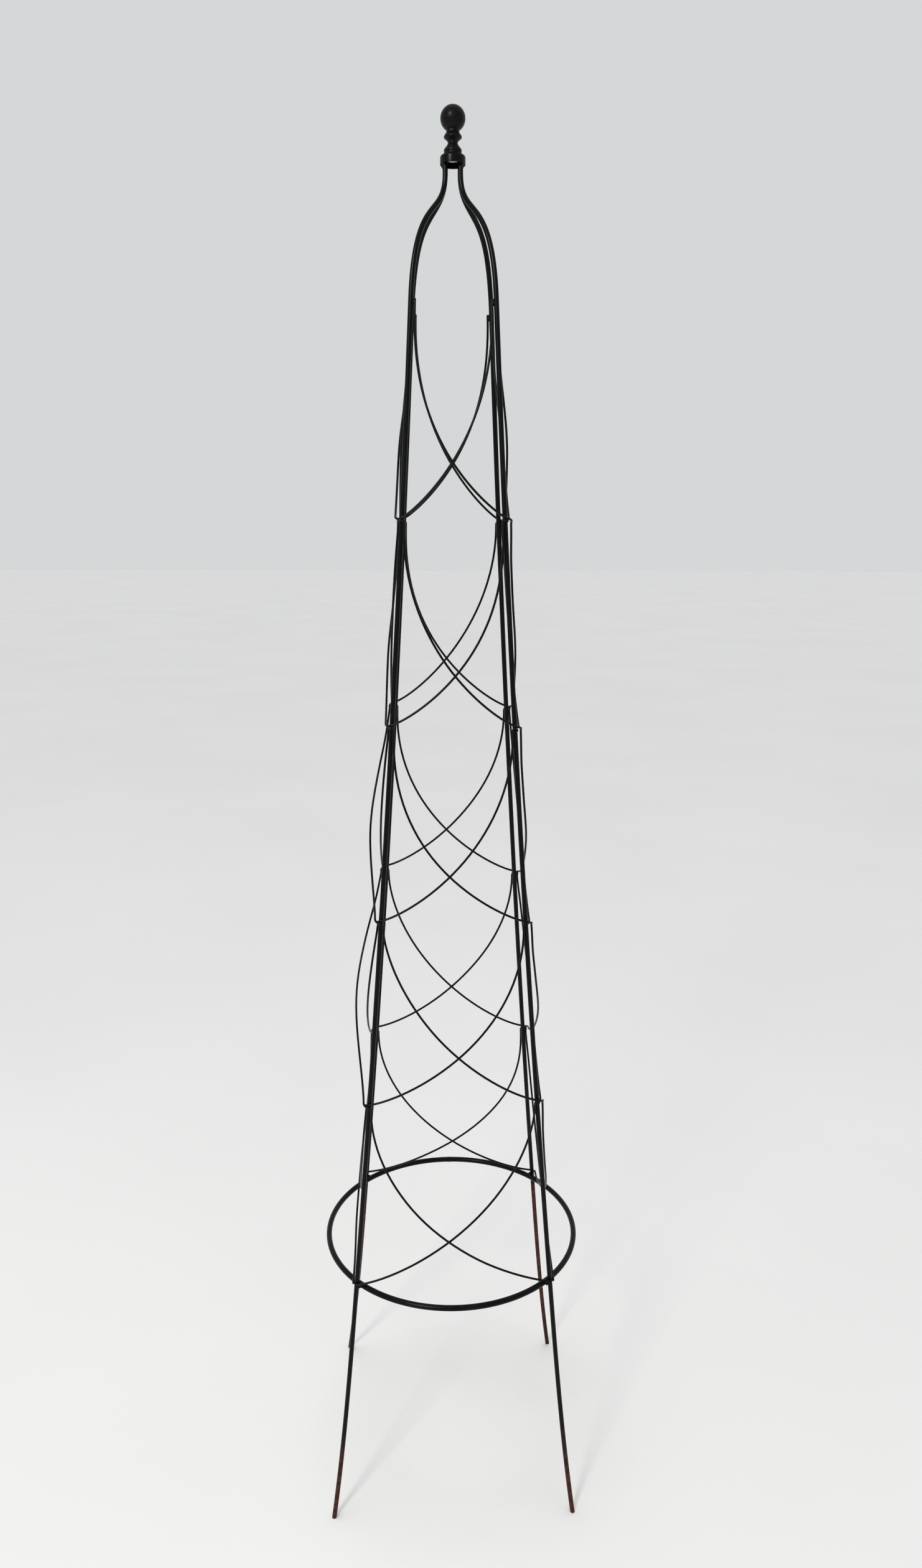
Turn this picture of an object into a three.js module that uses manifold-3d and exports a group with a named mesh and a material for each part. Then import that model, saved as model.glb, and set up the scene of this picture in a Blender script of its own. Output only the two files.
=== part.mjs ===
// Garden obelisk: a square trellis tower of painted steel rod. Four legs draw together under a small
// pressed collar, a round ring ties them near the ground, eight thin wires lace the four faces
// between them, and a turned ball finial is screwed down on the collar.
// Millimetres, +Z up. The origin is on the ground under the finial, and the front face looks to -Y.

import * as THREE from "three";
import Module from "manifold-3d";
import { mergeVertices } from "three/addons/utils/BufferGeometryUtils.js";

const wasm = await Module();
wasm.setup();

// ---- Driving dimensions ----

const LEG_ROD = 6.5; // diameter of the four legs
const RING_ROD = 8; // diameter of the ring's rod
const WIRE = 3; // diameter of the lattice wire
const GAP = 0.3; // clearance left between pieces that touch

const RING_RADIUS = 185.5; // to the middle of the ring's rod
const RING_HEIGHT = 353; // middle of the ring's rod above the ground
const FOOT_HALF = 172.5; // half the distance between neighbouring feet
const FOOT_SPLAY = 0.14; // outward slope of a leg where it meets the ground
const SHOULDER_HALF = 52.4; // half the distance between neighbouring legs under the shoulder
const LEG_HOLLOW = 6.2; // how far a leg hangs in from straight, halfway up the lattice
const SHOULDER_RISE = 155.7; // from the top of the lattice to where the legs stand upright
const SHOULDER_SWELL = 128; // length of the leg's lower handle in the shoulder bend
const NECK_SWELL = 58; // length of its upper handle
const BACK_FULLNESS = 3; // how much wider the two back legs stand in the middle of the shoulder
const NECK_HALF_X = 9.4; // half the distance between the legs inside the collar, side to side
const NECK_HALF_Y = 5.9; // the same, front to back
const NECK_UPRIGHT = 9; // upright stretch of the legs below the collar

const LEVELS = 5; // courses of lattice
const LEVEL_PITCH = 262; // height of one course
const LATTICE_LIFT = 4; // lowest wire ends above the middle of the ring

// Fullness of the sweep where a wire leaves its leg, for each course from the top.
const OUTER_SWEEP = {
  front: [2.25, 1.9, 2.1, 1.5, 1.75],
  right: [2.1, 1.85, 1.95, 1.6, 1.9],
  back: [2.1, 1.75, 1.8, 1.7, 2.15],
  left: [2.1, 1.85, 1.95, 1.6, 1.9],
};
const INNER_SWEEP = {
  front: [2.05, 2.15, 1.8, 1.8, 1.55],
  right: [2.05, 2.1, 1.9, 1.7, 1.65],
  back: [1.95, 2.1, 2, 1.6, 1.75],
  left: [2.05, 2.1, 1.9, 1.7, 1.65],
};
const SWEEP_TAIL = 1.15; // fullness where it comes in to the next leg, in the top course
const SWEEP_TAIL_STEP = 0.08; // what each course below adds to that
const CORNER_SLOPE = 0.35; // fall of a wire as it turns round the outside of a leg
const TAIL_TURN = 20; // degrees that the last end turns round its leg

// The wires are bent by hand, so each face bows outward by its own amount in each course, top first.
const OUTER_BOW = {
  front: [2, 4, 5, 5, 3],
  right: [2, 2, 4, 8, 2],
  back: [2, 4, 5, 5, 3],
  left: [1, 4, 18, 25, 1],
};
const INNER_BOW = {
  front: [2, 3, 4, 4, 2],
  right: [1, 1, 2, 4, 1],
  back: [2, 3, 4, 4, 2],
  left: [1, 2, 4, 8, 1],
};
const BOW_SAG = 1.2; // above 1, the bows are fullest below the middle of their course

// How far the wires turn round each leg above their level, at the foot of each course.
const TURN_LIFT = {
  front_left: [0, 0, 0, 3, 0],
  front_right: [0, -2, -2, 8, 0],
  back_right: [0, -1, 6, 6, 0],
  back_left: [0, 4, 14, 4, 0],
};

const COLLAR_WALL = 1.2; // sheet thickness of the collar
const COLLAR_HEIGHT = 10.8;
const COLLAR_ROUND = 2.6; // outer radius round the collar's roof
const SCREW = 6; // shank diameter
const SCREW_GRIP = 11; // length of shank inside the finial
const HEAD_FLATS = 10; // hexagon head, across the flats
const HEAD_HEIGHT = 3.6;
const WASHER_OUTER = 14; // diameter
const WASHER_THICK = 1;

const BALL = 31; // diameter of the finial's ball
const FINIAL_BASE = 22.3; // diameter of its drum
const FINIAL_BEAD = 22.5; // diameter of its bead
const FINIAL_WAIST = 12.6; // diameter of its waist
const FINIAL_NECK = 16.3; // diameter under the ball
const DRUM_HEIGHT = 7.6;
const WAIST_HEIGHT = 14.2; // middle of the waist above the drum's foot
const BEAD_HEIGHT = 20.4; // middle of the bead above the drum's foot
const BALL_HEIGHT = 41.2; // middle of the ball above the drum's foot

// ---- Derived places ----

const LEG_RADIUS = LEG_ROD / 2;
const LATTICE_FOOT = RING_HEIGHT + LATTICE_LIFT;
const LATTICE_TOP = LATTICE_FOOT + LEVELS * LEVEL_PITCH;
const RING_HALF = (RING_RADIUS + (RING_ROD + LEG_ROD) / 2 + GAP) / Math.SQRT2;
const COLLAR_BORE = Math.hypot(NECK_HALF_X, NECK_HALF_Y) + LEG_RADIUS + GAP; // radius
const COLLAR_RADIUS = COLLAR_BORE + COLLAR_WALL;
const NECK_HEIGHT = LATTICE_TOP + SHOULDER_RISE;
const COLLAR_FOOT = NECK_HEIGHT + NECK_UPRIGHT;
const COLLAR_TOP = COLLAR_FOOT + COLLAR_HEIGHT;
const ROOF = COLLAR_TOP - COLLAR_WALL; // underside of the collar's roof
const LEG_TOP = COLLAR_TOP - COLLAR_ROUND - GAP;
const WASHER_TOP = ROOF - GAP;
const HEAD_TOP = WASHER_TOP - WASHER_THICK - GAP;
const BORE = SCREW / 2 + GAP; // radius of every hole the screw passes
const FINIAL_FOOT = COLLAR_TOP + GAP;
const INNER_LAYER = (LEG_ROD + WIRE) / 2 + GAP; // wire's middle from the leg's middle
const OUTER_LAYER = INNER_LAYER + WIRE + GAP;
const BEND = WIRE; // radius of the sharp bends in the wire

// Corners of the square and its faces, anticlockwise from the front left leg. Face i runs from
// leg i to leg i + 1.
const LEGS = [
  { name: "front_left", x: -1, y: -1 },
  { name: "front_right", x: 1, y: -1 },
  { name: "back_right", x: 1, y: 1 },
  { name: "back_left", x: -1, y: 1 },
];
const FACES = [
  { name: "front", x: 0, y: -1 },
  { name: "right", x: 1, y: 0 },
  { name: "back", x: 0, y: 1 },
  { name: "left", x: -1, y: 0 },
];

const ROD_SIDES = 8;
const WIRE_SIDES = 6;
const ROUND = 24; // sides of the turned pieces
const SWEEP_STEPS = 11;
const CORNER_STEPS = 4;

// ---- Materials ----

function finish(color, roughness, metalness) {
  return new THREE.MeshStandardMaterial({ color, roughness, metalness });
}

const blackPaint = () => finish(0x0b0b0c, 0.42, 0.1);
const finialPaint = () => finish(0x0e0c0c, 0.32, 0.15);
const zincPlate = () => finish(0x8d8f90, 0.4, 0.9);

// ---- Solids ----

// A path through given stations, so that a rod has its stations where it bends.
class RodPath extends THREE.Curve {
  constructor(stations) {
    super();
    this.stations = stations;
  }

  getPoint(t, target = new THREE.Vector3()) {
    const last = this.stations.length - 1;
    const place = THREE.MathUtils.clamp(t, 0, 1) * last;
    const before = Math.min(Math.floor(place), last - 1);
    return target.lerpVectors(this.stations[before], this.stations[before + 1], place - before);
  }

  getUtoTmapping(u) {
    return u;
  }
}

function rod(stations, diameter, sides) {
  const section = new THREE.Shape();
  for (let i = 0; i < sides; i += 1) {
    const turn = (2 * Math.PI * i) / sides;
    const x = (diameter / 2) * Math.cos(turn);
    const y = (diameter / 2) * Math.sin(turn);
    if (i === 0) section.moveTo(x, y);
    else section.lineTo(x, y);
  }
  section.closePath();
  return new THREE.ExtrudeGeometry(section, {
    steps: stations.length - 1,
    extrudePath: new RodPath(stations),
    bevelEnabled: false,
  });
}

// A turned piece round +Z. Outline points are [radius, height], from the axis at the foot to the
// axis at the top, or back to the first point for a piece with a hole.
function turned(outline) {
  const profile = outline.map(([radius, height]) => new THREE.Vector2(radius, height));
  return new THREE.LatheGeometry(profile, ROUND).rotateX(Math.PI / 2);
}

function arc(radius, height, size, from, to, steps) {
  const points = [];
  for (let i = 0; i <= steps; i += 1) {
    const turn = THREE.MathUtils.degToRad(from + ((to - from) * i) / steps);
    points.push([radius + size * Math.cos(turn), height + size * Math.sin(turn)]);
  }
  return points;
}

function toSolid(geometry) {
  const plain = geometry.clone();
  plain.deleteAttribute("normal");
  plain.deleteAttribute("uv");
  const merged = mergeVertices(plain, 1e-4);
  return new wasm.Manifold(
    new wasm.Mesh({
      numProp: 3,
      vertProperties: new Float32Array(merged.attributes.position.array),
      triVerts: new Uint32Array(merged.index.array),
    }),
  );
}

function toGeometry(solid) {
  const mesh = solid.getMesh();
  const geometry = new THREE.BufferGeometry();
  geometry.setAttribute("position", new THREE.BufferAttribute(mesh.vertProperties, 3));
  geometry.setIndex(new THREE.BufferAttribute(mesh.triVerts, 1));
  geometry.computeVertexNormals();
  return geometry;
}

// ---- Legs ----

// Half the distance between neighbouring legs at a height between the ring and the lattice's top.
function legHalf(height) {
  const down = (LATTICE_TOP - height) / (LATTICE_TOP - RING_HEIGHT);
  return THREE.MathUtils.lerp(SHOULDER_HALF, RING_HALF, down) - 4 * LEG_HOLLOW * down * (1 - down);
}

// Slope of that distance, outward per millimetre down.
function legSlope(height) {
  return legHalf(height - 0.5) - legHalf(height + 0.5);
}

function legPoint(leg, half, height) {
  return new THREE.Vector3(leg.x * half, leg.y * half, height);
}

// The shoulder's curve seen along one side, from the top of the lattice in to the neck.
function shoulderCurve(neckHalf) {
  const lean = legSlope(LATTICE_TOP) * SHOULDER_SWELL;
  return new THREE.CubicBezierCurve(
    new THREE.Vector2(SHOULDER_HALF, LATTICE_TOP),
    new THREE.Vector2(SHOULDER_HALF - lean, LATTICE_TOP + SHOULDER_SWELL),
    new THREE.Vector2(neckHalf, NECK_HEIGHT - NECK_SWELL),
    new THREE.Vector2(neckHalf, NECK_HEIGHT),
  );
}

// One leg from below the ground up: splayed foot, long lattice stretch, ogee shoulder, upright end.
function legStations(leg) {
  const footHandle = RING_HEIGHT / 3;
  const foot = new THREE.CubicBezierCurve(
    new THREE.Vector2(FOOT_HALF, 0),
    new THREE.Vector2(FOOT_HALF - FOOT_SPLAY * footHandle, footHandle),
    new THREE.Vector2(RING_HALF + legSlope(RING_HEIGHT) * footHandle, RING_HEIGHT - footHandle),
    new THREE.Vector2(RING_HALF, RING_HEIGHT),
  );
  const stations = [legPoint(leg, FOOT_HALF + FOOT_SPLAY * LEG_ROD, -LEG_ROD)];
  for (const point of foot.getPoints(7)) stations.push(legPoint(leg, point.x, point.y));
  const stretches = 2 * LEVELS;
  for (let i = 1; i < stretches; i += 1) {
    const height = THREE.MathUtils.lerp(RING_HEIGHT, LATTICE_TOP, i / stretches);
    stations.push(legPoint(leg, legHalf(height), height));
  }
  const sideways = shoulderCurve(NECK_HALF_X).getPoints(14);
  const inward = shoulderCurve(NECK_HALF_Y).getPoints(14);
  const fullness = leg.y > 0 ? BACK_FULLNESS : 0;
  sideways.forEach((point, i) => {
    const wide = point.x + fullness * Math.sin((Math.PI * i) / (sideways.length - 1)) ** 2;
    stations.push(new THREE.Vector3(leg.x * wide, leg.y * inward[i].x, point.y));
  });
  stations.push(new THREE.Vector3(leg.x * NECK_HALF_X, leg.y * NECK_HALF_Y, LEG_TOP));
  return stations;
}

// The foot is cut level, so that the leg stands flat on the ground.
function legGeometry(leg) {
  const reach = 4 * LEG_ROD;
  const below = new THREE.BoxGeometry(reach, reach, reach);
  below.translate(leg.x * FOOT_HALF, leg.y * FOOT_HALF, -reach / 2);
  return toGeometry(toSolid(rod(legStations(leg), LEG_ROD, ROD_SIDES)).subtract(toSolid(below)));
}

// ---- Lattice ----

function levelHeight(level) {
  return LATTICE_TOP - level * LEVEL_PITCH;
}

// A place near a leg: `along` towards the next leg and `out` from the face.
function besideLeg(leg, face, hand, along, out, height) {
  const half = legHalf(height);
  const alongX = -face.y * hand * along;
  const alongY = face.x * hand * along;
  return new THREE.Vector3(
    leg.x * half + alongX + face.x * out,
    leg.y * half + alongY + face.y * out,
    height,
  );
}

// How far a wire stands out from its face. The first stretch starts beside its leg, in the face.
function firstOut(down, layer) {
  return layer * THREE.MathUtils.smoothstep(down, 0.2, 0.7);
}

// Every later stretch drops in against its leg below the turn, then lifts to its own layer before
// it crosses the wire of the other hand.
function laterOut(down, layer) {
  const stub = Math.sqrt(layer ** 2 - BEND ** 2);
  const closing = THREE.MathUtils.smoothstep(down, 0, 0.2);
  const lifting = THREE.MathUtils.smoothstep(down, 0.35, 0.7);
  const hugging = THREE.MathUtils.lerp(stub, INNER_LAYER, closing);
  return THREE.MathUtils.lerp(hugging, layer, lifting);
}

// One wire from its welded end at the top of a leg. In each course it runs down its leg, sweeps
// across a face to the next leg, turns round the outside of it and bends down again.
// hand 1 winds anticlockwise seen from above in the outer layer, hand -1 clockwise in the inner.
function wireStations(first, hand) {
  const layer = hand > 0 ? OUTER_LAYER : INNER_LAYER;
  const bows = hand > 0 ? OUTER_BOW : INNER_BOW;
  const sweeps = hand > 0 ? OUTER_SWEEP : INNER_SWEEP;
  const fall = (CORNER_SLOPE * layer * Math.PI) / 2;
  const stations = [];
  let startLift = 0;
  for (let level = 0; level < LEVELS; level += 1) {
    const from = (first + hand * level + 4 * LEVELS) % 4;
    const to = (from + hand + 4) % 4;
    const face = FACES[hand > 0 ? from : to];
    const next = FACES[hand > 0 ? to : (to + 3) % 4];
    const isFirst = level === 0;
    const isLast = level === LEVELS - 1;
    const endLift = TURN_LIFT[LEGS[to].name][level];
    const top = levelHeight(level) + startLift - (isFirst ? 0 : fall / 2 + BEND);
    const bottom = levelHeight(level + 1) + endLift + fall / 2;
    const startAlong = isFirst ? INNER_LAYER : BEND;
    const endLayer = isLast ? INNER_LAYER : layer;
    const tail = SWEEP_TAIL + SWEEP_TAIL_STEP * level;
    for (let i = 0; i <= SWEEP_STEPS; i += 1) {
      const turn = ((Math.PI / 2) * i) / SWEEP_STEPS;
      const down = Math.sin(turn) ** (2 / sweeps[face.name][level]);
      const across = i === SWEEP_STEPS ? 1 : 1 - Math.cos(turn) ** (2 / tail);
      const height = THREE.MathUtils.lerp(top, bottom, down);
      const along = THREE.MathUtils.lerp(startAlong, 2 * legHalf(height), across);
      const out = isFirst ? firstOut(down, layer) : laterOut(down, layer);
      const arriving = THREE.MathUtils.smoothstep(down, 0.85, 1);
      const bow = bows[face.name][level] * Math.sin(Math.PI * down ** BOW_SAG);
      const reach = THREE.MathUtils.lerp(out, endLayer, arriving) + bow;
      stations.push(besideLeg(LEGS[from], face, hand, along, reach, height));
    }
    const degrees = isLast ? TAIL_TURN : 90;
    const steps = isLast ? 1 : CORNER_STEPS;
    for (let i = 1; i <= steps; i += 1) {
      const turn = THREE.MathUtils.degToRad((degrees * i) / steps);
      const height = bottom - CORNER_SLOPE * endLayer * turn;
      const along = endLayer * Math.sin(turn);
      stations.push(besideLeg(LEGS[to], face, hand, along, endLayer * Math.cos(turn), height));
    }
    if (isLast) break;
    const along = BEND * Math.SQRT1_2;
    const height = bottom - fall - (BEND - along);
    stations.push(besideLeg(LEGS[to], next, hand, along, Math.sqrt(layer ** 2 - along ** 2), height));
    startLift = endLift;
  }
  return stations;
}

// ---- Collar, screw and finial ----

function collarGeometry() {
  const inside = COLLAR_ROUND - COLLAR_WALL;
  const outline = [
    [COLLAR_BORE, COLLAR_FOOT],
    [COLLAR_RADIUS, COLLAR_FOOT],
    ...arc(COLLAR_RADIUS - COLLAR_ROUND, COLLAR_TOP - COLLAR_ROUND, COLLAR_ROUND, 0, 90, 4),
    [BORE, COLLAR_TOP],
    [BORE, ROOF],
    ...arc(COLLAR_BORE - inside, ROOF - inside, inside, 90, 0, 2),
    [COLLAR_BORE, COLLAR_FOOT],
  ];
  return turned(outline);
}

function washerGeometry() {
  const foot = WASHER_TOP - WASHER_THICK;
  return turned([
    [BORE, foot],
    [WASHER_OUTER / 2, foot],
    [WASHER_OUTER / 2, WASHER_TOP],
    [BORE, WASHER_TOP],
    [BORE, foot],
  ]);
}

function screwGeometry() {
  const shankTop = FINIAL_FOOT + SCREW_GRIP;
  const shankFoot = HEAD_TOP - HEAD_HEIGHT / 2;
  const shank = new THREE.CylinderGeometry(SCREW / 2, SCREW / 2, shankTop - shankFoot, ROUND);
  shank.rotateX(Math.PI / 2).translate(0, 0, (shankTop + shankFoot) / 2);
  const headRadius = HEAD_FLATS / Math.sqrt(3);
  const head = new THREE.CylinderGeometry(headRadius, headRadius, HEAD_HEIGHT, 6);
  head.rotateX(Math.PI / 2).translate(0, 0, HEAD_TOP - HEAD_HEIGHT / 2);
  return toGeometry(toSolid(shank).add(toSolid(head)));
}

function finialGeometry() {
  const foot = FINIAL_FOOT;
  const drum = FINIAL_BASE / 2;
  const bead = FINIAL_BEAD / 2;
  const waist = FINIAL_WAIST / 2;
  const neck = FINIAL_NECK / 2;
  const ball = BALL / 2;
  const ballMiddle = foot + BALL_HEIGHT;
  const neckTurn = THREE.MathUtils.radToDeg(Math.asin(neck / ball)) - 90;
  const ballFoot = ballMiddle + ball * Math.sin(THREE.MathUtils.degToRad(neckTurn));
  const groove = 0.8;
  const drumRound = 2.2;
  const collar = (drum + 2 * waist) / 3;
  return turned([
    [0, foot + SCREW_GRIP + 2 * GAP],
    [BORE, foot + SCREW_GRIP + 2 * GAP],
    [BORE, foot],
    [drum - groove, foot],
    [drum, foot + groove],
    [drum, foot + DRUM_HEIGHT * 0.34],
    [drum - groove, foot + DRUM_HEIGHT * 0.43],
    [drum, foot + DRUM_HEIGHT * 0.52],
    ...arc(drum - drumRound, foot + DRUM_HEIGHT - drumRound, drumRound, 0, 60, 2),
    [collar + groove, foot + DRUM_HEIGHT + groove],
    [collar + groove, foot + DRUM_HEIGHT + 2 * groove],
    [collar - groove, foot + DRUM_HEIGHT + 3 * groove],
    [collar - groove, foot + DRUM_HEIGHT + 4 * groove],
    [waist + 0.2, foot + WAIST_HEIGHT - 1.2],
    [waist, foot + WAIST_HEIGHT],
    [waist + 0.8, foot + WAIST_HEIGHT + 1.5],
    [bead - 0.8, foot + BEAD_HEIGHT - 2],
    [bead, foot + BEAD_HEIGHT - 0.8],
    [bead, foot + BEAD_HEIGHT + 0.6],
    [bead - 1, foot + BEAD_HEIGHT + 2.2],
    [neck + 0.6, foot + BEAD_HEIGHT + 4.6],
    [neck, ballFoot - 1.4],
    ...arc(0, ballMiddle, ball, neckTurn, 90, 9).map(([radius, height], i) => [i === 9 ? 0 : radius, height]),
  ]);
}

// ---- Assembly ----

function piece(name, geometry, material) {
  const mesh = new THREE.Mesh(geometry, material);
  mesh.name = name;
  return mesh;
}

const frame = new THREE.Group();
for (const leg of LEGS) frame.add(piece(`leg_${leg.name}`, legGeometry(leg), blackPaint()));
const ringGeometry = new THREE.TorusGeometry(RING_RADIUS, RING_ROD / 2, ROD_SIDES, 48);
const ring = piece("base_ring", ringGeometry, blackPaint());
ring.position.z = RING_HEIGHT;
frame.add(ring);

const lattice = new THREE.Group();
LEGS.forEach((leg, first) => {
  for (const hand of [1, -1]) {
    const side = hand > 0 ? "outer" : "inner";
    const geometry = rod(wireStations(first, hand), WIRE, WIRE_SIDES);
    lattice.add(piece(`wire_${side}_${leg.name}`, geometry, blackPaint()));
  }
});

const top = new THREE.Group();
top.add(piece("collar", collarGeometry(), blackPaint()));
top.add(piece("finial_washer", washerGeometry(), zincPlate()));
top.add(piece("finial_screw", screwGeometry(), zincPlate()));
top.add(piece("ball_finial", finialGeometry(), finialPaint()));

const obelisk = new THREE.Group();
obelisk.add(frame, lattice, top);

export default obelisk;
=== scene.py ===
import math

import bmesh
import bpy
from mathutils import Matrix, Vector, noise


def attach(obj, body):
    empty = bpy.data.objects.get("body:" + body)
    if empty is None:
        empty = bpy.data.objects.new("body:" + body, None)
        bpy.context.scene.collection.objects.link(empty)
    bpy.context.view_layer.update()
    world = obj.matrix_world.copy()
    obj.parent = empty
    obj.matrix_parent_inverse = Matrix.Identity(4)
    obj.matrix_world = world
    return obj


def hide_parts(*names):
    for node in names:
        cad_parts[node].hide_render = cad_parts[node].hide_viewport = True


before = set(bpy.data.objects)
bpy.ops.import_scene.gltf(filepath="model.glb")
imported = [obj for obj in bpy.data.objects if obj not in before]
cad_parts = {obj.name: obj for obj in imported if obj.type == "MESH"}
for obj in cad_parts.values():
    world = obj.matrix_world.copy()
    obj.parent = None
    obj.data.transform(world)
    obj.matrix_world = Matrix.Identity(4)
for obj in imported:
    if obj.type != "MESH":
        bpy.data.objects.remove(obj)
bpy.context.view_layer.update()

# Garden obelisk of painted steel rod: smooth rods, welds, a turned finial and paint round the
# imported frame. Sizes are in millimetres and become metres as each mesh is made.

MM = 0.001

# ---- Sizes shared with the frame ----

LEG_ROD = 6.5
RING_ROD = 8.0
WIRE = 3.0
GAP = 0.3
RING_RADIUS = 185.5
RING_HEIGHT = 353.0
FOOT_HALF = 172.5
FOOT_SPLAY = 0.14
SHOULDER_HALF = 52.4
LEG_HOLLOW = 6.2
SHOULDER_RISE = 155.7
SHOULDER_SWELL = 128.0
NECK_SWELL = 58.0
BACK_FULLNESS = 3.0
NECK_HALF_X = 9.4
NECK_HALF_Y = 5.9
NECK_UPRIGHT = 9.0
LEVELS = 5
LEVEL_PITCH = 262.0
LATTICE_LIFT = 4.0
OUTER_SWEEP = {
    "front": [2.25, 1.9, 2.1, 1.5, 1.75],
    "right": [2.1, 1.85, 1.95, 1.6, 1.9],
    "back": [2.1, 1.75, 1.8, 1.7, 2.15],
    "left": [2.1, 1.85, 1.95, 1.6, 1.9],
}
INNER_SWEEP = {
    "front": [2.05, 2.15, 1.8, 1.8, 1.55],
    "right": [2.05, 2.1, 1.9, 1.7, 1.65],
    "back": [1.95, 2.1, 2.0, 1.6, 1.75],
    "left": [2.05, 2.1, 1.9, 1.7, 1.65],
}
SWEEP_TAIL = 1.15
SWEEP_TAIL_STEP = 0.08
CORNER_SLOPE = 0.35
TAIL_TURN = 20.0
OUTER_BOW = {
    "front": [2, 4, 5, 5, 3],
    "right": [2, 2, 4, 8, 2],
    "back": [2, 4, 5, 5, 3],
    "left": [1, 4, 18, 25, 1],
}
INNER_BOW = {
    "front": [2, 3, 4, 4, 2],
    "right": [1, 1, 2, 4, 1],
    "back": [2, 3, 4, 4, 2],
    "left": [1, 2, 4, 8, 1],
}
BOW_SAG = 1.2
TURN_LIFT = {
    "front_left": [0, 0, 0, 3, 0],
    "front_right": [0, -2, -2, 8, 0],
    "back_right": [0, -1, 6, 6, 0],
    "back_left": [0, 4, 14, 4, 0],
}
COLLAR_WALL = 1.2
COLLAR_HEIGHT = 10.8
COLLAR_ROUND = 2.6
BALL = 31.0
BALL_HEIGHT = 41.2

LEG_RADIUS = LEG_ROD / 2
WIRE_RADIUS = WIRE / 2
LATTICE_TOP = RING_HEIGHT + LATTICE_LIFT + LEVELS * LEVEL_PITCH
RING_HALF = (RING_RADIUS + (RING_ROD + LEG_ROD) / 2 + GAP) / math.sqrt(2)
COLLAR_BORE = math.hypot(NECK_HALF_X, NECK_HALF_Y) + LEG_RADIUS + GAP
COLLAR_RADIUS = COLLAR_BORE + COLLAR_WALL
NECK_HEIGHT = LATTICE_TOP + SHOULDER_RISE
COLLAR_FOOT = NECK_HEIGHT + NECK_UPRIGHT
COLLAR_TOP = COLLAR_FOOT + COLLAR_HEIGHT
LEG_TOP = COLLAR_TOP - COLLAR_ROUND - GAP
FINIAL_FOOT = COLLAR_TOP + GAP
INNER_LAYER = (LEG_ROD + WIRE) / 2 + GAP
OUTER_LAYER = INNER_LAYER + WIRE + GAP
BEND = WIRE

# Name and the way out from the middle, for each leg and each face of the lattice.
LEGS = [("front_left", -1, -1), ("front_right", 1, -1), ("back_right", 1, 1), ("back_left", -1, 1)]
FACES = [("front", 0, -1), ("right", 1, 0), ("back", 0, 1), ("left", -1, 0)]

# ---- Sizes of the finished pieces alone ----

SAWN_EDGE = 0.28  # how much a sawn rod end is eased
DOME_TURNS = (0.3, 0.6, 0.95, 1.25)  # radians up a rounded rod end, from its rim to its crown
UNEVEN_PITCH = 0.09  # waves to the millimetre: hand-worked rod is uneven over about ten
LEG_SIDES = 28
WIRE_SIDES = 14
WIRE_STEP = 0.9  # no two stations of a wire stand closer than this
RING_TURNS = 240
RING_SIDES = 28
SEAM_PROUD = 0.28  # the ring's butt weld at the back
SEAM_WIDTH = 2.6
SCREW_HOLE = 3.3
SCREW_DEPTH = 11.6
BALL_STEPS = 40
FINIAL_NECK = 8.15


# ---- Meshes ----


def keep(name, mesh, body, finish, replaced=()):
    """One finished piece: its finish, its body and the nodes it stands for."""
    piece = bpy.data.objects.new(name, mesh)
    bpy.context.scene.collection.objects.link(piece)
    mesh.materials.append(finish)
    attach(piece, body)
    if replaced:
        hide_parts(*replaced)


def mesh_of(name, points, faces, smooth=True):
    mesh = bpy.data.meshes.new(name)
    mesh.from_pydata([tuple(c * MM for c in p) for p in points], [], faces)
    mesh.validate()
    mesh.update()
    bm = bmesh.new()
    bm.from_mesh(mesh)
    bmesh.ops.recalc_face_normals(bm, faces=bm.faces)
    bm.to_mesh(mesh)
    bm.free()
    if smooth:
        mesh.polygons.foreach_set("use_smooth", [True] * len(mesh.polygons))
    return mesh


def lerp(a, b, t):
    return a + (b - a) * t


def smoothstep(t, low, high):
    t = min(max((t - low) / (high - low), 0.0), 1.0)
    return t * t * (3 - 2 * t)


def thinned(line, least):
    """The line without stations that stand closer together than least."""
    kept = [line[0]]
    for point in line[1:-1]:
        if (point - kept[-1]).length >= least:
            kept.append(point)
    if (line[-1] - kept[-1]).length < least and len(kept) > 2:
        kept.pop()
    return kept + [line[-1]]


def rod_end(centre, tangent, side, radius, bulge, way):
    """Sections that close a rod, from its rim out: a dome, or one eased, sawn edge."""
    if not bulge:
        return [(centre, tangent, side, radius - SAWN_EDGE)]
    sections = []
    for turn in DOME_TURNS:
        stand = tangent * way * radius * bulge * math.sin(turn)
        sections.append((centre + stand, tangent, side, radius * math.cos(turn)))
    return sections


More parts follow.
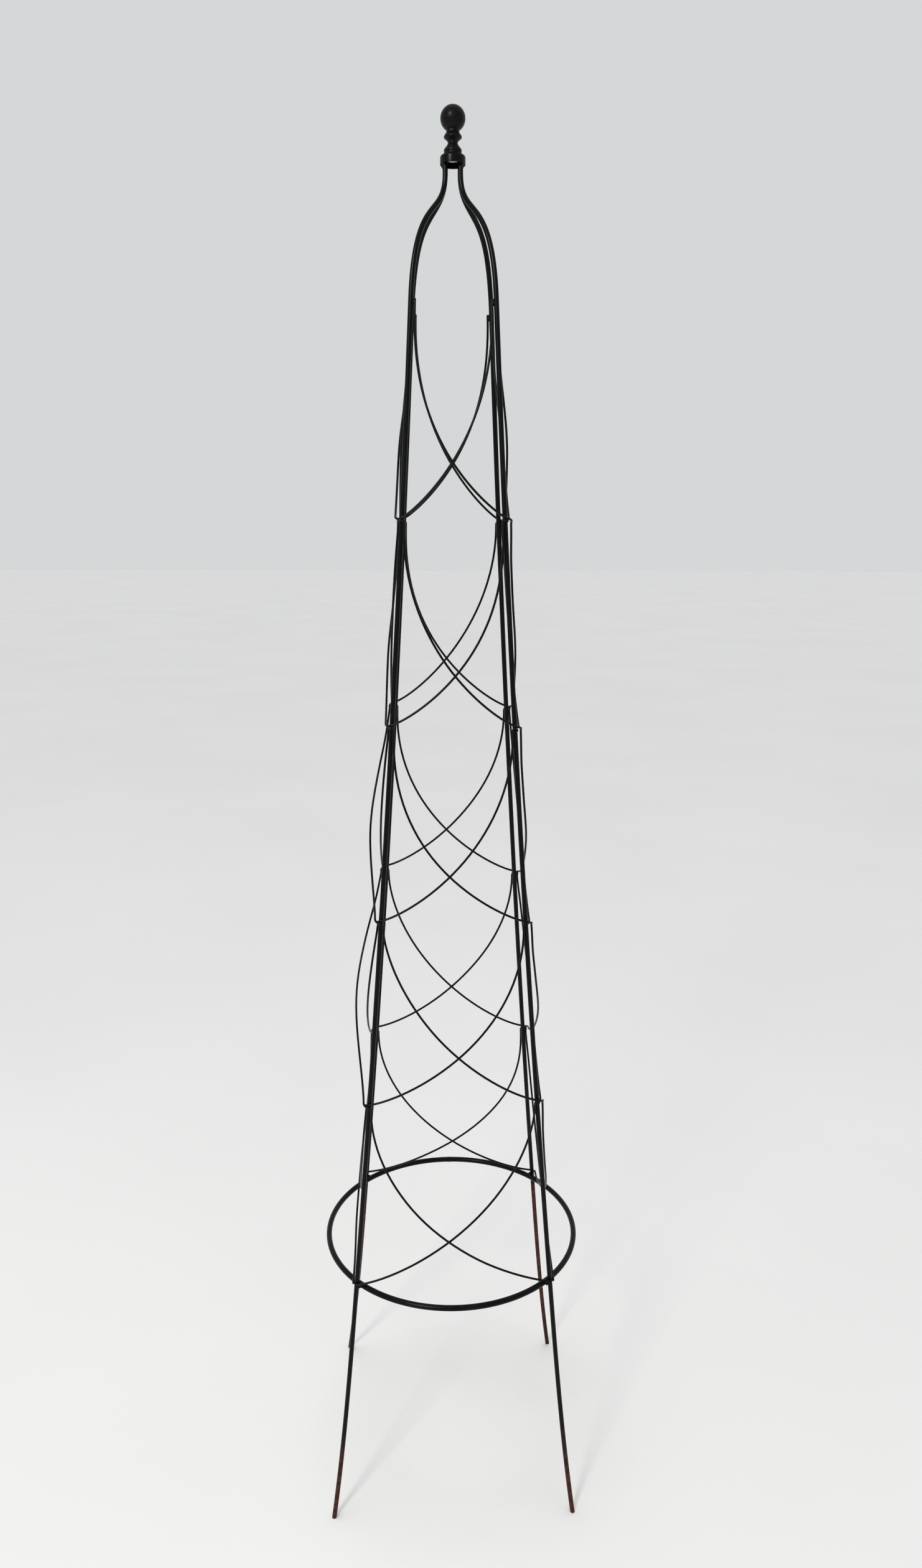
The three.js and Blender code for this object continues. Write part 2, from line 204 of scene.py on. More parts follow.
def tube(name, line, radius, sides, level_foot=False, dome=(0.0, 0.0), wobble=0.0):
    """A round rod along a line. dome gives how far each end bulges, as a share of the radius."""
    last = len(line) - 1
    tangents = []
    for i in range(last + 1):
        ahead = line[min(i + 1, last)] - line[max(i - 1, 0)]
        tangents.append(ahead.normalized())
    side = tangents[0].orthogonal().normalized()
    sections = []
    for point, tangent in zip(line, tangents):
        side = (side - tangent * side.dot(tangent)).normalized()
        sections.append((point, tangent, side.copy(), radius))
    first = rod_end(*sections[0], dome[0], -1)[::-1]
    final = rod_end(*sections[-1], dome[1], 1)
    if not dome[0]:
        sections[0] = (line[0] + tangents[0] * SAWN_EDGE, *sections[0][1:])
    if not dome[1]:
        sections[-1] = (line[-1] - tangents[-1] * SAWN_EDGE, *sections[-1][1:])
    sections = first + sections + final
    points, faces = [], []
    for k, (centre, tangent, across, size) in enumerate(sections):
        up = tangent.cross(across)
        for j in range(sides):
            turn = 2 * math.pi * j / sides
            out = across * math.cos(turn) + up * math.sin(turn)
            swell = 1.0
            if wobble:
                swell += wobble * noise.noise((centre + out * radius) * UNEVEN_PITCH)
            point = centre + out * size * swell
            # The first sections of a foot are cut level with the ground.
            if level_foot and (k < 2 or (k == 2 and point.z < 2 * SAWN_EDGE)):
                point = point + tangent * ((k * SAWN_EDGE - point.z) / tangent.z)
            points.append(point)
    rows = len(sections)
    for k in range(rows - 1):
        for j in range(sides):
            a, b = k * sides + j, k * sides + (j + 1) % sides
            faces.append((a, b, b + sides, a + sides))
    faces.append(tuple(range(sides))[::-1])
    faces.append(tuple((rows - 1) * sides + j for j in range(sides)))
    return mesh_of(name, points, faces)


def turned(name, outline, sides=96):
    """A turned piece from (radius, height) points. Its outline closes on itself or on the axis."""
    points, faces, rings = [], [], []
    for radius, height in outline:
        if radius < 1e-6:
            rings.append([len(points)])
            points.append(Vector((0, 0, height)))
            continue
        rings.append(list(range(len(points), len(points) + sides)))
        for j in range(sides):
            turn = 2 * math.pi * j / sides
            points.append(Vector((radius * math.cos(turn), radius * math.sin(turn), height)))
    closed = len(rings[0]) > 1 and len(rings[-1]) > 1
    for low, high in zip(rings, rings[1:] + rings[:closed]):
        for j in range(sides):
            k = (j + 1) % sides
            under = [low[j % len(low)], low[k % len(low)]]
            over = [high[k % len(high)], high[j % len(high)]]
            faces.append(tuple(dict.fromkeys(under + over)))
    return mesh_of(name, points, faces)


def curved(corners, steps=8, pull=0.5):
    """An outline through corners. A corner's third value is how far from it the rounding starts."""
    outline = []
    for i, corner in enumerate(corners):
        here = Vector(corner[:2])
        rounding = corner[2] if len(corner) > 2 else 0.0
        if not rounding or i in (0, len(corners) - 1):
            outline.append((here.x, here.y))
            continue
        before, after = Vector(corners[i - 1][:2]), Vector(corners[i + 1][:2])
        start = here + (before - here).normalized() * min(rounding, (before - here).length * pull)
        end = here + (after - here).normalized() * min(rounding, (after - here).length * pull)
        for k in range(steps + 1):
            t = k / steps
            spot = start * (1 - t) ** 2 + here * 2 * t * (1 - t) + end * t * t
            outline.append((spot.x, spot.y))
    return outline


def lumps(name, beads):
    """Weld beads as one mesh. Each is (centre, size along x, y and z, turn matrix)."""
    bm = bmesh.new()
    for seed, (centre, size, turn) in enumerate(beads):
        made = bmesh.ops.create_icosphere(bm, subdivisions=3, radius=1.0)
        offset = Vector((seed * 7.31, seed * 3.17, seed * 5.53))
        for vertex in made["verts"]:
            out = vertex.co.copy()
            ripple = 0.07 * math.sin(out.z * 9.0 + seed)
            swell = 1 + 0.22 * noise.noise(out * 1.3 + offset) + ripple
            spot = turn @ Vector((out.x * size[0], out.y * size[1], out.z * size[2])) * swell
            vertex.co = (spot + centre) * MM
    mesh = bpy.data.meshes.new(name)
    bm.to_mesh(mesh)
    bm.free()
    mesh.polygons.foreach_set("use_smooth", [True] * len(mesh.polygons))
    return mesh


# ---- Lines of the rods ----


def leg_half(height):
    down = (LATTICE_TOP - height) / (LATTICE_TOP - RING_HEIGHT)
    return lerp(SHOULDER_HALF, RING_HALF, down) - 4 * LEG_HOLLOW * down * (1 - down)


def leg_slope(height):
    return leg_half(height - 0.5) - leg_half(height + 0.5)


def bezier(a, b, c, d, steps):
    """Points of a cubic curve, without its first."""
    spots = []
    for i in range(1, steps + 1):
        t = i / steps
        rest = 1 - t
        spots.append(a * rest ** 3 + b * 3 * t * rest ** 2 + c * 3 * t * t * rest + d * t ** 3)
    return spots


def shoulder_curve(neck_half, steps=40):
    """The shoulder seen along one side, from the top of the lattice in to the neck."""
    shoulder = Vector((SHOULDER_HALF, LATTICE_TOP))
    neck = Vector((neck_half, NECK_HEIGHT))
    return bezier(
        shoulder,
        shoulder + Vector((-leg_slope(LATTICE_TOP), 1)) * SHOULDER_SWELL,
        neck - Vector((0, NECK_SWELL)),
        neck,
        steps,
    )


def leg_line(x, y):
    """The middle of one leg from the ground up."""
    handle = RING_HEIGHT / 3
    foot = Vector((FOOT_HALF, 0))
    ring = Vector((RING_HALF, RING_HEIGHT))
    halves = [foot] + bezier(
        foot,
        foot + Vector((-FOOT_SPLAY * handle, handle)),
        ring + Vector((leg_slope(RING_HEIGHT) * handle, -handle)),
        ring,
        20,
    )
    stretches = 60
    for i in range(1, stretches + 1):
        height = lerp(RING_HEIGHT, LATTICE_TOP, i / stretches)
        halves.append(Vector((leg_half(height), height)))
    line = [Vector((x * p.x, y * p.x, p.y)) for p in halves]
    sideways, inward = shoulder_curve(NECK_HALF_X), shoulder_curve(NECK_HALF_Y)
    fullness = BACK_FULLNESS if y > 0 else 0.0
    for i, (wide, deep) in enumerate(zip(sideways, inward), start=1):
        swell = fullness * math.sin(math.pi * i / len(sideways)) ** 2
        line.append(Vector((x * (wide.x + swell), y * deep.x, wide.y)))
    line.append(Vector((x * NECK_HALF_X, y * NECK_HALF_Y, LEG_TOP)))
    return line


def level_height(level):
    return LATTICE_TOP - level * LEVEL_PITCH


def beside_leg(leg, face, hand, along, out, height):
    half = leg_half(height)
    return Vector((
        leg[1] * half - face[2] * hand * along + face[1] * out,
        leg[2] * half + face[1] * hand * along + face[2] * out,
        height,
    ))


def first_out(down, layer):
    """How far the first stretch stands out from its face: it starts beside its leg, in the face."""
    return layer * smoothstep(down, 0.2, 0.7)


def later_out(down, layer):
    """Later stretches drop in against the leg, then lift to their own layer before the crossing."""
    stub = math.sqrt(layer ** 2 - BEND ** 2)
    hugging = lerp(stub, INNER_LAYER, smoothstep(down, 0, 0.2))
    return lerp(hugging, layer, smoothstep(down, 0.35, 0.7))


def wire_line(first, hand, sweep_steps=34, corner_steps=9, bend_steps=5):
    """A lattice wire from its weld at the top of a leg: down, across, round a leg, and again."""
    layer = OUTER_LAYER if hand > 0 else INNER_LAYER
    bows = OUTER_BOW if hand > 0 else INNER_BOW
    sweeps = OUTER_SWEEP if hand > 0 else INNER_SWEEP
    fall = CORNER_SLOPE * layer * math.pi / 2
    line = []
    start_lift = 0.0
    for level in range(LEVELS):
        start = (first + hand * level) % 4
        end = (start + hand) % 4
        face = FACES[start if hand > 0 else end]
        following = FACES[end if hand > 0 else (end + 3) % 4]
        is_first, is_last = level == 0, level == LEVELS - 1
        end_lift = TURN_LIFT[LEGS[end][0]][level]
        top = level_height(level) + start_lift - (0 if is_first else fall / 2 + BEND)
        bottom = level_height(level + 1) + end_lift + fall / 2
        start_along = INNER_LAYER if is_first else BEND
        end_layer = INNER_LAYER if is_last else layer
        tail = SWEEP_TAIL + SWEEP_TAIL_STEP * level
        for i in range(sweep_steps + 1):
            turn = math.pi / 2 * i / sweep_steps
            down = math.sin(turn) ** (2 / sweeps[face[0]][level])
            across = 1.0 if i == sweep_steps else 1 - math.cos(turn) ** (2 / tail)
            height = lerp(top, bottom, down)
            along = lerp(start_along, 2 * leg_half(height), across)
            out = first_out(down, layer) if is_first else later_out(down, layer)
            out = lerp(out, end_layer, smoothstep(down, 0.85, 1))
            out += bows[face[0]][level] * math.sin(math.pi * down ** BOW_SAG)
            line.append(beside_leg(LEGS[start], face, hand, along, out, height))
        degrees = TAIL_TURN if is_last else 90
        steps = 3 if is_last else corner_steps
        for i in range(1, steps + 1):
            turn = math.radians(degrees * i / steps)
            height = bottom - CORNER_SLOPE * end_layer * turn
            place = (end_layer * math.sin(turn), end_layer * math.cos(turn))
            line.append(beside_leg(LEGS[end], face, hand, *place, height))
        if is_last:
            break
        for i in range(1, bend_steps):
            turn = math.pi / 2 * i / bend_steps
            along = BEND * math.sin(turn)
            height = bottom - fall - BEND * (1 - math.cos(turn))
            out = math.sqrt(layer ** 2 - along ** 2)
            line.append(beside_leg(LEGS[end], following, hand, along, out, height))
        start_lift = end_lift
    return line


def relaxed(line, rounds=2):
    """Hand-bent wire has no sharp corner: each station eases towards its neighbours."""
    for _ in range(rounds):
        eased = [line[0]]
        for before, here, after in zip(line, line[1:], line[2:]):
            near, far = (here - before).length, (after - here).length
            share = 0.5 * min(near, far) / max(near, far, 1e-6)
            middle = before.lerp(after, near / (near + far))
            eased.append(here.lerp(middle, share))
        line = eased + [line[-1]]
    return line


# ---- Shader maths ----


class Flow:
    """One value that runs through a tree of nodes. Arithmetic on it adds Math nodes."""

    def __init__(self, nodes, socket):
        self.nodes = nodes
        self.socket = socket

    def maths(self, operation, first, second):
        return self.nodes.node("Math", {"operation": operation}, {0: first, 1: second})

    def __add__(self, other):
        return self.maths("ADD", self, other)

    def __mul__(self, other):
        return self.maths("MULTIPLY", self, other)

    def __sub__(self, other):
        return self.maths("SUBTRACT", self, other)

    def __rsub__(self, other):
        return self.maths("SUBTRACT", other, self)

    __radd__ = __add__
    __rmul__ = __mul__

    def between(self, low, high):
        """0 at low, 1 at high, smooth between. low may be the larger."""
        return self.nodes.node(
            "MapRange",
            {"interpolation_type": "SMOOTHSTEP"},
            {"Value": self, "From Min": low, "From Max": high},
        )


class Nodes:
    """A tree of shader nodes, in a material or in the room round the object."""

    def __init__(self, tree):
        self.tree = tree

    def feed(self, node, socket, value):
        """A socket's value, or its link where the value is a flow."""
        if isinstance(value, Flow):
            self.tree.links.new(value.socket, node.inputs[socket])
        else:
            node.inputs[socket].default_value = value

    def node(self, kind, settings, inputs, output=0):
        """A node: its settings first, then its sockets. Its answer is the flow from one output."""
        made = self.tree.nodes.new("ShaderNode" + kind)
        for name, value in settings.items():
            setattr(made, name, value)
        for socket, value in inputs.items():
            self.feed(made, socket, value)
        return Flow(self, made.outputs[output])

    def blend(self, share, under, over):
        """Two colours mixed by a share: a Mix node's colours are sockets 6 and 7 and output 2."""
        return self.node("Mix", {"data_type": "RGBA"}, {0: share, 6: under, 7: over}, 2)

    def part_of(self, vector, axis):
        return self.node("SeparateXYZ", {}, {"Vector": vector}, axis)


class Paint(Nodes):
    """A material of nodes, with the shader at its end."""

    def __init__(self, name, **shader_values):
        self.material = bpy.data.materials.new(name)
        self.material.use_nodes = True
        super().__init__(self.material.node_tree)
        self.shader = self.tree.nodes["Principled BSDF"]
        for socket, value in shader_values.items():
            self.feed(self.shader, socket.replace("_", " "), value)
        self.place = self.node("TexCoord", {}, {}, "Object")

    def speckle(self, scale, detail=3.0, roughness=0.55):
        """Cloudy noise from about 0 to 1; scale is in lumps to the metre."""
        return self.node(
            "TexNoise",
            {},
            {"Vector": self.place, "Scale": scale, "Detail": detail, "Roughness": roughness},
        )

    def grains(self, scale):
        """Distance to the nearest of scattered grains."""
        return self.node("TexVoronoi", {}, {"Vector": self.place, "Scale": scale})

    def height(self):
        return self.part_of(self.place, "Z")

    def facing_up(self):
        return self.part_of(self.node("NewGeometry", {}, {}, "Normal"), "Z")

    def finish(self, colour, roughness, relief=None, depth=0.0):
        """The finished material; relief stands out by up to depth metres."""
        self.feed(self.shader, "Base Color", colour)
        self.feed(self.shader, "Roughness", roughness)
        if relief:
            bump = self.node("Bump", {}, {"Strength": 1.0, "Distance": depth, "Height": relief})
            self.feed(self.shader, "Normal", bump)
        return self.material


# ---- Finishes ----

INK = (0.0016, 0.0016, 0.0018, 1)
INK_WORN = (0.0055, 0.0053, 0.0054, 1)
DUST = (0.022, 0.021, 0.0195, 1)
PRIMER = (0.088, 0.022, 0.0145, 1)
RUST = (0.15, 0.05, 0.024, 1)
RUST_DARK = (0.02, 0.0078, 0.006, 1)
RUST_PALE = (0.33, 0.18, 0.15, 1)
FINIAL_INK = (0.003, 0.0024, 0.0025, 1)
FINIAL_BROWN = (0.0115, 0.0058, 0.0062, 1)
ZINC_DULL = (0.36, 0.37, 0.38, 1)
ZINC_PALE = (0.52, 0.52, 0.51, 1)
ZINC_STAIN = (0.2, 0.17, 0.14, 1)
FLOOR_PALE = (0.69, 0.685, 0.675, 1)
FLOOR_PALER = (0.71, 0.705, 0.695, 1)
ROOM_NEAR = (0.5, 0.506, 0.51, 1)
ROOM_FAR = (0.665, 0.68, 0.685, 1)

STEEL_IOR = 1.5


def satin_black(name, bare_below=0.0, bare_fade=0.03, rust_share=1.0, dark_tip=0.0):
    """Satin black on steel rod. Under bare_below metres it is worn to red-brown primer and rust."""
    paint = Paint(name, Specular_IOR_Level=0.13, IOR=STEEL_IOR)
    cloud = paint.speckle(26, 4)
    fine = paint.speckle(420, 3)
    skin = paint.speckle(900, 2)
    drips = paint.speckle(95, 3)
    worn = cloud.between(0.5, 0.72) * 0.7 + fine.between(0.58, 0.75) * 0.3
    colour = paint.blend(worn, INK, INK_WORN)
    settled = paint.facing_up().between(0.45, 0.98) * fine.between(0.4, 0.7) * 0.16
    colour = paint.blend(settled, colour, DUST)
    chipped = paint.speckle(310, 4, 0.65).between(0.715, 0.745)
    chips = chipped * paint.speckle(22, 2).between(0.5, 0.62)
    colour = paint.blend(chips, colour, RUST_DARK)
    roughness = 0.2 + cloud * 0.1 + fine * 0.05 + settled * 0.5 + chips * 0.3
    relief = skin * 0.08 + drips * 0.6 - chips * 0.8
    if bare_below:
        height = paint.height()
        edge = bare_below + (paint.speckle(58, 5, 0.7) - 0.5) * 0.11
        bare = (height - edge).between(bare_fade * 0.25, -bare_fade) * rust_share
        patches = paint.speckle(120, 5, 0.7)
        scale = paint.speckle(700, 4, 0.7)
        flakes = paint.speckle(240, 3, 0.6).between(0.53, 0.6)
        specks = paint.speckle(1150, 2, 0.6).between(0.6, 0.68) * 0.55
        metal = paint.blend(patches.between(0.4, 0.62), PRIMER, RUST_DARK)
        metal = paint.blend(scale.between(0.52, 0.68) * 0.7, metal, RUST)
        metal = paint.blend(flakes * 0.7, metal, INK_WORN)
        metal = paint.blend(specks, metal, RUST_PALE)
        if dark_tip:
            metal = paint.blend(height.between(0.075, 0.02) * dark_tip, metal, RUST_DARK)
        colour = paint.blend(bare, colour, metal)
        roughness = roughness + bare * (0.34 + scale * 0.2 - flakes * 0.25)
        relief = relief + bare * (scale * 1.3 + flakes * 1.8)
    return paint.finish(colour, roughness, relief, depth=0.00016)


def finial_black():
    """Semi-gloss black on the turned finial, with a brown tinge where the coat is thin."""
    paint = Paint("finial_black_paint", Specular_IOR_Level=0.13, IOR=STEEL_IOR)
    cloud = paint.speckle(70, 4)
    fine = paint.speckle(600, 3)
    thin = paint.speckle(150, 4, 0.6).between(0.5, 0.68) * 0.6 + fine.between(0.6, 0.75) * 0.25
    colour = paint.blend(thin, FINIAL_INK, FINIAL_BROWN)
    settled = paint.facing_up().between(0.5, 1.0) * fine.between(0.4, 0.75) * 0.12
    colour = paint.blend(settled, colour, DUST)
    roughness = 0.26 + cloud * 0.14 + fine * 0.06 + settled * 0.4
    relief = cloud * 0.6 + paint.speckle(230, 3) * 0.35 + fine * 0.08
    return paint.finish(colour, roughness, relief, depth=0.00016)


def weld_black():
    """Black paint over spattered weld metal."""
    paint = Paint("weld_black_paint", Specular_IOR_Level=0.2, IOR=STEEL_IOR)
    fine = paint.speckle(800, 4, 0.65)
    pits = paint.grains(900)
    colour = paint.blend(fine.between(0.55, 0.7) * 0.4, INK, RUST_DARK)
    relief = fine + pits.between(0.15, 0.45) * 0.6
    return paint.finish(colour, 0.3 + fine * 0.18, relief, depth=0.0003)


def zinc():
    """Dull zinc plate with faint spangle."""
    paint = Paint("zinc_plate", Specular_IOR_Level=0.5, Metallic=1.0)
    spangle = paint.grains(420)
    fine = paint.speckle(900, 3)
    colour = paint.blend(spangle.between(0.1, 0.7), ZINC_DULL, ZINC_PALE)
    colour = paint.blend(fine.between(0.6, 0.75) * 0.5, colour, ZINC_STAIN)
    return paint.finish(colour, 0.32 + fine * 0.2, fine, depth=0.00004)


# The front legs are bare over the length that goes into the soil, the back legs up to the ring.
leg_front_paint = satin_black("leg_paint_front", bare_below=0.125, bare_fade=0.065, rust_share=0.9)
leg_back_paint = satin_black("leg_paint_back", bare_below=0.345, bare_fade=0.02, dark_tip=0.7)
ring_paint = satin_black("ring_paint")
wire_paint = satin_black("wire_paint")
collar_paint = satin_black("collar_paint")
weld_paint = weld_black()
finial_paint = finial_black()
zinc_paint = zinc()

# ---- Frame ----

for name, x, y in LEGS:
    finish = leg_front_paint if y < 0 else leg_back_paint
    line = leg_line(x, y)
    mesh = tube(f"leg_{name}_rod", line, LEG_RADIUS, LEG_SIDES, level_foot=True, wobble=0.012)
    keep(f"leg_{name}_rod", mesh, "frame", finish, [f"leg_{name}"])


def ring_rod():
    """The ring, whose butt weld at the back stands a little proud above, below and inside."""
    points, faces = [], []
    for i in range(RING_TURNS):
        turn = 2 * math.pi * i / RING_TURNS
        from_seam = (turn - math.pi * 0.5) * RING_RADIUS
        seam = math.exp(-(from_seam / SEAM_WIDTH) ** 2) * SEAM_PROUD
        for j in range(RING_SIDES):
            roll = 2 * math.pi * j / RING_SIDES
            reach = RING_ROD / 2 + seam * (1 - max(math.cos(roll), 0.0))
            around = RING_RADIUS + reach * math.cos(roll)
            height = RING_HEIGHT + reach * math.sin(roll)
            points.append(Vector((around * math.cos(turn), around * math.sin(turn), height)))
            a, b = i * RING_SIDES + j, i * RING_SIDES + (j + 1) % RING_SIDES
            c, d = ((corner + RING_SIDES) % (RING_TURNS * RING_SIDES) for corner in (a, b))
            faces.append((a, c, d, b))
    return mesh_of("base_ring_rod", points, faces)


keep("base_ring_rod", ring_rod(), "frame", ring_paint, ["base_ring"])

# ---- Lattice ----

wires = {}
for first, (name, x, y) in enumerate(LEGS):
    for hand, layer in ((1, "outer"), (-1, "inner")):
        node = f"wire_{layer}_{name}"
        line = thinned(relaxed(wire_line(first, hand)), WIRE_STEP)
        wires[first, hand] = line
        mesh = tube(f"{node}_rod", line, WIRE_RADIUS, WIRE_SIDES, dome=(0.8, 0.55), wobble=0.02)
        keep(f"{node}_rod", mesh, "frame", wire_paint, [node])

# ---- Welds ----

# Sizes of the beads: out from the leg, across it and up. Those on wire ends are along x, y and z.
RING_BEAD = (1.7, 2.1, 4.0)
RING_BEAD_APART = 2.9
RING_BEAD_STEP = 0.4
HEAD_BEAD = (1.5, 1.5, 4.2)
HEAD_BEAD_DROP = 3
TAIL_BEAD = (1.5, 1.5, 1.5)
NODE_BEAD = (1.5, 2.0, 1.9)
NODE_BEAD_DROP = 3.2
HEAD_BEAD_SHARE = 0.64  # how far a bead lies from the middle of the leg towards the wire
TAIL_BEAD_SHARE = 0.62
# Drop below the collar's lip, stand out from the leg and size, for each bead of the fillet.
LIP_BEADS = ((0.6, -0.3, (1.3, 2.9, 1.7)), (2.4, -0.7, (1.0, 2.1, 2.2)))
UPRIGHT = Matrix.Identity(3)


def faced(out):
    """The turn whose axes are out, across and up, and the way across on its own."""
    across = Vector((-out.y, out.x, 0))
    return Matrix((out, across, Vector((0, 0, 1)))).transposed(), across


def on_leg(leg, height):
    half = leg_half(height)
    return Vector((leg[1] * half, leg[2] * half, height))


def leg_beads(index):
    """Every bead of one leg: at the ring, on its wires' ends, at their turns and at the collar."""
    leg = LEGS[index]
    name, x, y = leg
    out = Vector((x, y, 0)).normalized()
    turn, across = faced(out)
    beads = []
    contact = out * (RING_RADIUS + RING_ROD / 2 + GAP / 2)
    for way in (-1, 1):
        rise = Vector((0, 0, RING_HEIGHT + RING_BEAD_STEP * way))
        beads.append((contact + across * way * RING_BEAD_APART + rise, RING_BEAD, turn))
    for hand in (1, -1):
        head, tail = wires[index, hand][0], wires[index, hand][-1]
        drop = Vector((0, 0, -HEAD_BEAD_DROP))
        top = on_leg(leg, LATTICE_TOP) + drop
        beads.append((top.lerp(head + drop, HEAD_BEAD_SHARE), HEAD_BEAD, UPRIGHT))
        last_leg = LEGS[(index + hand * LEVELS) % 4]
        foot = on_leg(last_leg, tail.z)
        beads.append((foot.lerp(tail, TAIL_BEAD_SHARE), TAIL_BEAD, UPRIGHT))
    for level in range(1, LEVELS):
        uneven = 1.3 * math.sin(3.1 * level + index)
        height = level_height(level) + TURN_LIFT[name][level - 1] - NODE_BEAD_DROP - uneven
        beads.append((on_leg(leg, height) + out * (LEG_RADIUS + 0.5), NODE_BEAD, turn))
    neck_out = Vector((x * NECK_HALF_X, y * NECK_HALF_Y, 0)).normalized()
    neck_turn, _ = faced(neck_out)
    reach = math.hypot(NECK_HALF_X, NECK_HALF_Y) + LEG_RADIUS
    for drop, stand, size in LIP_BEADS:
        centre = neck_out * (reach + stand) + Vector((0, 0, COLLAR_FOOT - drop))
        beads.append((centre, size, neck_turn))
    return beads


for index, (name, _, _) in enumerate(LEGS):
    welds = lumps(f"welds_{name}", leg_beads(index))
    keep(f"welds_{name}", welds, "frame", weld_paint)

# ---- Collar and finial ----

LIP_ROUND = 0.5
HOLE_ROUND = 0.2
collar_inside = COLLAR_TOP - COLLAR_WALL
collar_outline = curved([
    (COLLAR_BORE, COLLAR_FOOT + 1.2),
    (COLLAR_BORE, COLLAR_FOOT, LIP_ROUND),
    (COLLAR_RADIUS, COLLAR_FOOT, LIP_ROUND),
    (COLLAR_RADIUS, COLLAR_TOP, COLLAR_ROUND * 1.25),
    (SCREW_HOLE, COLLAR_TOP, HOLE_ROUND),
    (SCREW_HOLE, collar_inside, HOLE_ROUND),
    (COLLAR_BORE, collar_inside, COLLAR_ROUND - COLLAR_WALL),
    (COLLAR_BORE, COLLAR_FOOT + 1.3),
], pull=0.98)
collar_mesh = turned("collar_cup", collar_outline)
keep("collar_cup", collar_mesh, "frame", collar_paint, ["collar"])

neck_angle = -math.acos(FINIAL_NECK / (BALL / 2))
ball = [
    (BALL / 2 * math.cos(angle), FINIAL_FOOT + BALL_HEIGHT + BALL / 2 * math.sin(angle))
    for angle in (lerp(neck_angle, math.pi / 2, i / BALL_STEPS) for i in range(BALL_STEPS))
]
# Radius, height over the finial's foot and rounding of each corner, from the screw's hole up.
finial_corners = [
    (SCREW_HOLE, 0.5, 0.0),
    (SCREW_HOLE, 0.0, 0.2),
    (10.6, 0.0, 0.4),
    (11.15, 0.8, 0.6),
    (11.15, 2.7, 0.4),
    (10.35, 3.3, 0.5),
    (11.15, 4.0, 0.5),
    (11.1, 6.4, 1.5),
    (9.4, 8.0, 0.8),
    (9.0, 8.1, 0.2),
    (9.1, 9.0, 0.5),
    (7.9, 9.6, 0.4),
    (7.7, 10.4, 0.4),
    (7.2, 11.0, 0.4),
    (6.25, 13.0, 1.8),
    (6.3, 15.2, 1.6),
    (8.9, 17.6, 1.4),
    (11.1, 19.3, 0.5),
    (11.2, 20.9, 0.6),
    (9.6, 23.4, 1.6),
    (8.2, 25.6, 1.2),
    (8.1, 27.6, 0.6),
]
stem = curved([(radius, FINIAL_FOOT + rise, rounding) for radius, rise, rounding in finial_corners]
              + [ball[0]])
hole_end = FINIAL_FOOT + SCREW_DEPTH
crown = (0, FINIAL_FOOT + BALL_HEIGHT + BALL / 2)
finial_outline = [(0, hole_end), (SCREW_HOLE, hole_end)] + stem + ball[1:] + [crown]
finial_mesh = turned("ball_finial_turned", finial_outline)
keep("ball_finial_turned", finial_mesh, "finial", finial_paint, ["ball_finial"])

for name in ("finial_washer", "finial_screw"):
    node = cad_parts[name]
    node.data.materials.clear()
    node.data.materials.append(zinc_paint)

# ---- Floor, light and camera ----

FLOOR_HALF = 40000


def pale_floor():
    paint = Paint("pale_floor", Specular_IOR_Level=0.2)
    cloud = paint.speckle(0.9, 3)
    fine = paint.speckle(40, 4)
    colour = paint.blend(cloud.between(0.3, 0.7), FLOOR_PALE, FLOOR_PALER)
    return paint.finish(colour, 0.6 + fine * 0.12)


floor_corners = [(x * FLOOR_HALF, y * FLOOR_HALF, 0) for _, x, y in LEGS]
floor_mesh = mesh_of("floor", floor_corners, [(0, 1, 2, 3)], smooth=False)
floor = bpy.data.objects.new("floor", floor_mesh)
bpy.context.scene.collection.objects.link(floor)
floor_mesh.materials.append(pale_floor())


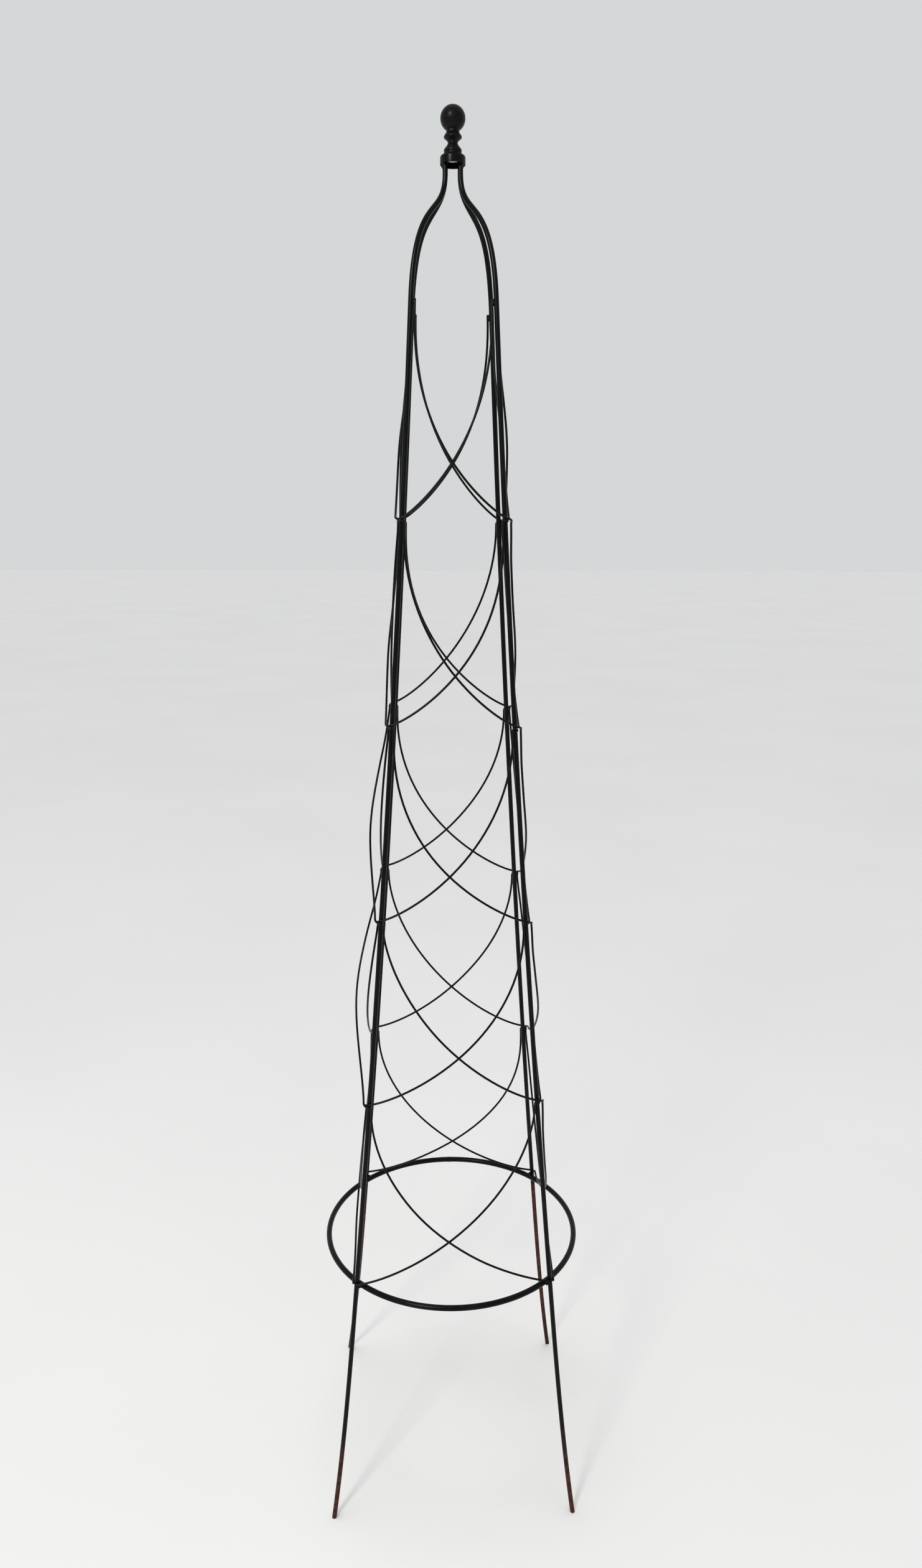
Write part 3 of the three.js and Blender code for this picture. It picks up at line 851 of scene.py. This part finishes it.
def pale_room():
    """A pale room behind, a little dimmer on the viewer's side, as a studio is round its lamps."""
    world = bpy.data.worlds.new("studio")
    world.use_nodes = True
    room = Nodes(world.node_tree)
    depth = room.part_of(room.node("TexCoord", {}, {}, "Generated"), "Y")
    wall = room.blend(depth.between(-0.25, 0.55), ROOM_NEAR, ROOM_FAR)
    room.feed(room.tree.nodes["Background"], "Color", wall)
    return world


def soft_light(name, kind, place, target, strength, colour, **settings):
    light = bpy.data.lights.new(name, kind)
    light.energy = strength
    light.color = colour
    for setting, value in settings.items():
        setattr(light, setting, value)
    lamp = bpy.data.objects.new(name, light)
    lamp.location = place
    lamp.rotation_euler = (Vector(target) - Vector(place)).to_track_quat("-Z", "Y").to_euler()
    bpy.context.scene.collection.objects.link(lamp)
    return lamp


bpy.context.scene.world = pale_room()
bpy.context.scene.view_settings.view_transform = "Standard"

WARM = (1.0, 0.985, 0.96)
COOL = (0.975, 0.99, 1.0)
WINDOW_PLACE = (-1.3, -2.4, 3.1)
WINDOW_TARGET = (0, 0, 1.0)
CEILING_PLACE = (-0.3, 0.2, 4.0)
window = {"shape": "RECTANGLE", "size": 0.5, "size_y": 1.1}
soft_light("window", "AREA", WINDOW_PLACE, WINDOW_TARGET, 56, WARM, **window)
ceiling = soft_light("ceiling", "SUN", CEILING_PLACE, (0, 0, 0), 1.4, COOL, angle=math.radians(25))
ceiling.visible_glossy = False  # it lights evenly and leaves the highlights to the window

CAMERA_PLACE = Vector((-0.03497, -1.51317, 1.38926))
PITCH = math.radians(12.76)
YAW = math.radians(1.80)
ROLL = math.radians(0.18)
level = math.cos(PITCH)
forward = Vector((math.sin(YAW) * level, math.cos(YAW) * level, -math.sin(PITCH)))
right = forward.cross(Vector((0, 0, 1))).normalized()
up = right.cross(forward)
rolled_right = right * math.cos(ROLL) + up * math.sin(ROLL)
rolled_up = up * math.cos(ROLL) - right * math.sin(ROLL)
facing = Matrix((rolled_right, rolled_up, -forward)).transposed().to_4x4()
lens = bpy.data.cameras.new("camera")
lens.sensor_width = 36
lens.lens = 25.57
lens.clip_start, lens.clip_end = 0.05, 60
camera = bpy.data.objects.new("camera", lens)
camera.matrix_world = Matrix.Translation(CAMERA_PLACE) @ facing
bpy.context.scene.collection.objects.link(camera)
bpy.context.scene.camera = camera
